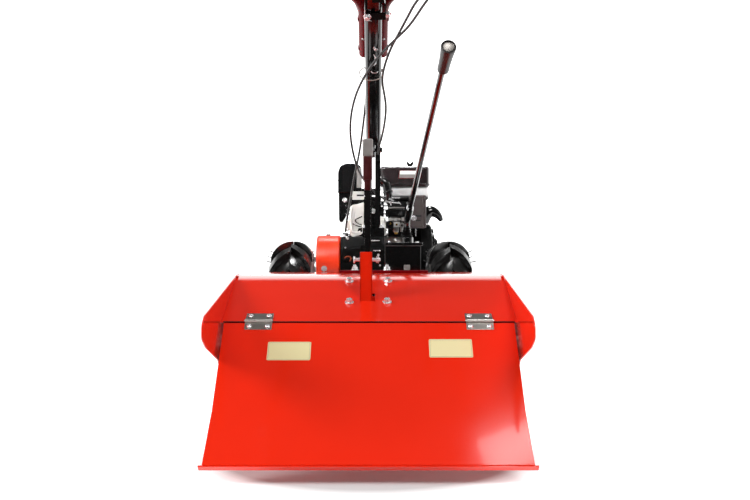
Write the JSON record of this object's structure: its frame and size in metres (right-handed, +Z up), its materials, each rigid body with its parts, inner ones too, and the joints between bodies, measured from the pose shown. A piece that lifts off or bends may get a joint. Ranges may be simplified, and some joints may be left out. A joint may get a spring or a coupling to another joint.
{
  "type": "walk-behind garden tiller",
  "caption": "Two-wheeled walk-behind petrol tiller: tine rotor under a sheet hood with a hinged rear flap, open engine in front, tilting handlebar behind.",
  "frame": {"origin": "on the ground, in the middle of the machine's footprint", "axes": "+Y forward (engine end), +X to the machine's right, +Z up"},
  "size_m": [0.62, 1.7694, 1.0602],
  "materials": {
    "red_enamel": "gloss",
    "dark_red_enamel": "gloss",
    "black_enamel": "gloss",
    "black_casting": "satin",
    "bare_casting": "satin",
    "bright_steel": "satin",
    "black_plastic": "gloss",
    "dark_grey_enamel": "gloss",
    "pale_grey_enamel": "satin",
    "grip_rubber": "matte",
    "tyre_rubber": "matte",
    "red_plastic": "gloss"
  },
  "bodies": {
    "chassis": {"gearbox_case": "black_casting", "axle_case": "black_casting", "wheel_axle": "bright_steel", "selector_box": "black_casting", "gear_lever": "black_enamel", "gear_lever_grip": "black_plastic", "belt_cover": "red_plastic", "drive_case": "black_casting", "frame_rails": "black_enamel", "engine_plate": "black_enamel", "front_bumper": "black_enamel", "engine_crankcase": "bare_casting", "engine_cylinder": "bare_casting", "cooling_duct": "black_plastic", "fan_housing": "black_plastic", "recoil_cover": "black_plastic", "starter_grip": "black_plastic", "fuel_tank": "dark_grey_enamel", "tank_vent": "black_plastic", "tank_seat": "pale_grey_enamel", "air_cleaner": "black_plastic", "muffler": "black_enamel", "carburettor": "bare_casting", "hood_panel": "red_enamel", "side_plate_left": "red_enamel", "side_plate_right": "red_enamel", "roof_strip": "dark_red_enamel", "hood_saddle": "black_casting", "hinge_leaves_fixed": "bright_steel", "depth_bracket": "red_enamel", "depth_stake": "black_enamel", "stake_handle": "black_plastic", "stake_pin": "bright_steel", "column_post": "black_enamel"},
    "flap": {"flap": "red_enamel", "hinge_leaves_moving": "bright_steel"},
    "rotor": {"rotor_shaft": "black_enamel", "tines": "black_enamel"},
    "wheel_left": {"tyre_left": "tyre_rubber", "rim_left": "black_enamel"},
    "wheel_right": {"tyre_right": "tyre_rubber", "rim_right": "black_enamel"},
    "handlebar": {"column": "black_enamel", "arm_clamp": "black_enamel", "handlebar_left": "dark_red_enamel", "handlebar_right": "dark_red_enamel", "grip_left": "grip_rubber", "grip_right": "grip_rubber", "clutch_lever_left": "black_enamel", "clutch_lever_right": "black_enamel", "clutch_cable_left": "grip_rubber", "clutch_cable_right": "grip_rubber", "throttle_cable": "grip_rubber"}
  },
  "joints": [
    {"name": "left_wheel_spin", "type": "hinge", "parent": "chassis", "child": "wheel_left", "pos_m": [-0.212, 0.3831, 0.226], "axis": [-1, 0, 0], "continuous": true},
    {"name": "right_wheel_spin", "type": "hinge", "parent": "chassis", "child": "wheel_right", "pos_m": [0.212, 0.3831, 0.226], "axis": [-1, 0, 0], "continuous": true},
    {"name": "rotor_spin", "type": "hinge", "parent": "chassis", "child": "rotor", "pos_m": [0, -0.0469, 0.185], "axis": [-1, 0, 0], "continuous": true},
    {"name": "flap_hinge", "type": "hinge", "parent": "chassis", "child": "flap", "pos_m": [0, -0.30944, 0.28194], "axis": [-1, 0, 0], "range_deg": [0, 75]},
    {"name": "handlebar_tilt", "type": "hinge", "parent": "chassis", "child": "handlebar", "pos_m": [0.008, 0.3281, 0.696], "axis": [-1, 0, 0], "range_deg": [-10, 20], "deforming": ["clutch_cable_left", "clutch_cable_right", "throttle_cable"]}
  ]
}
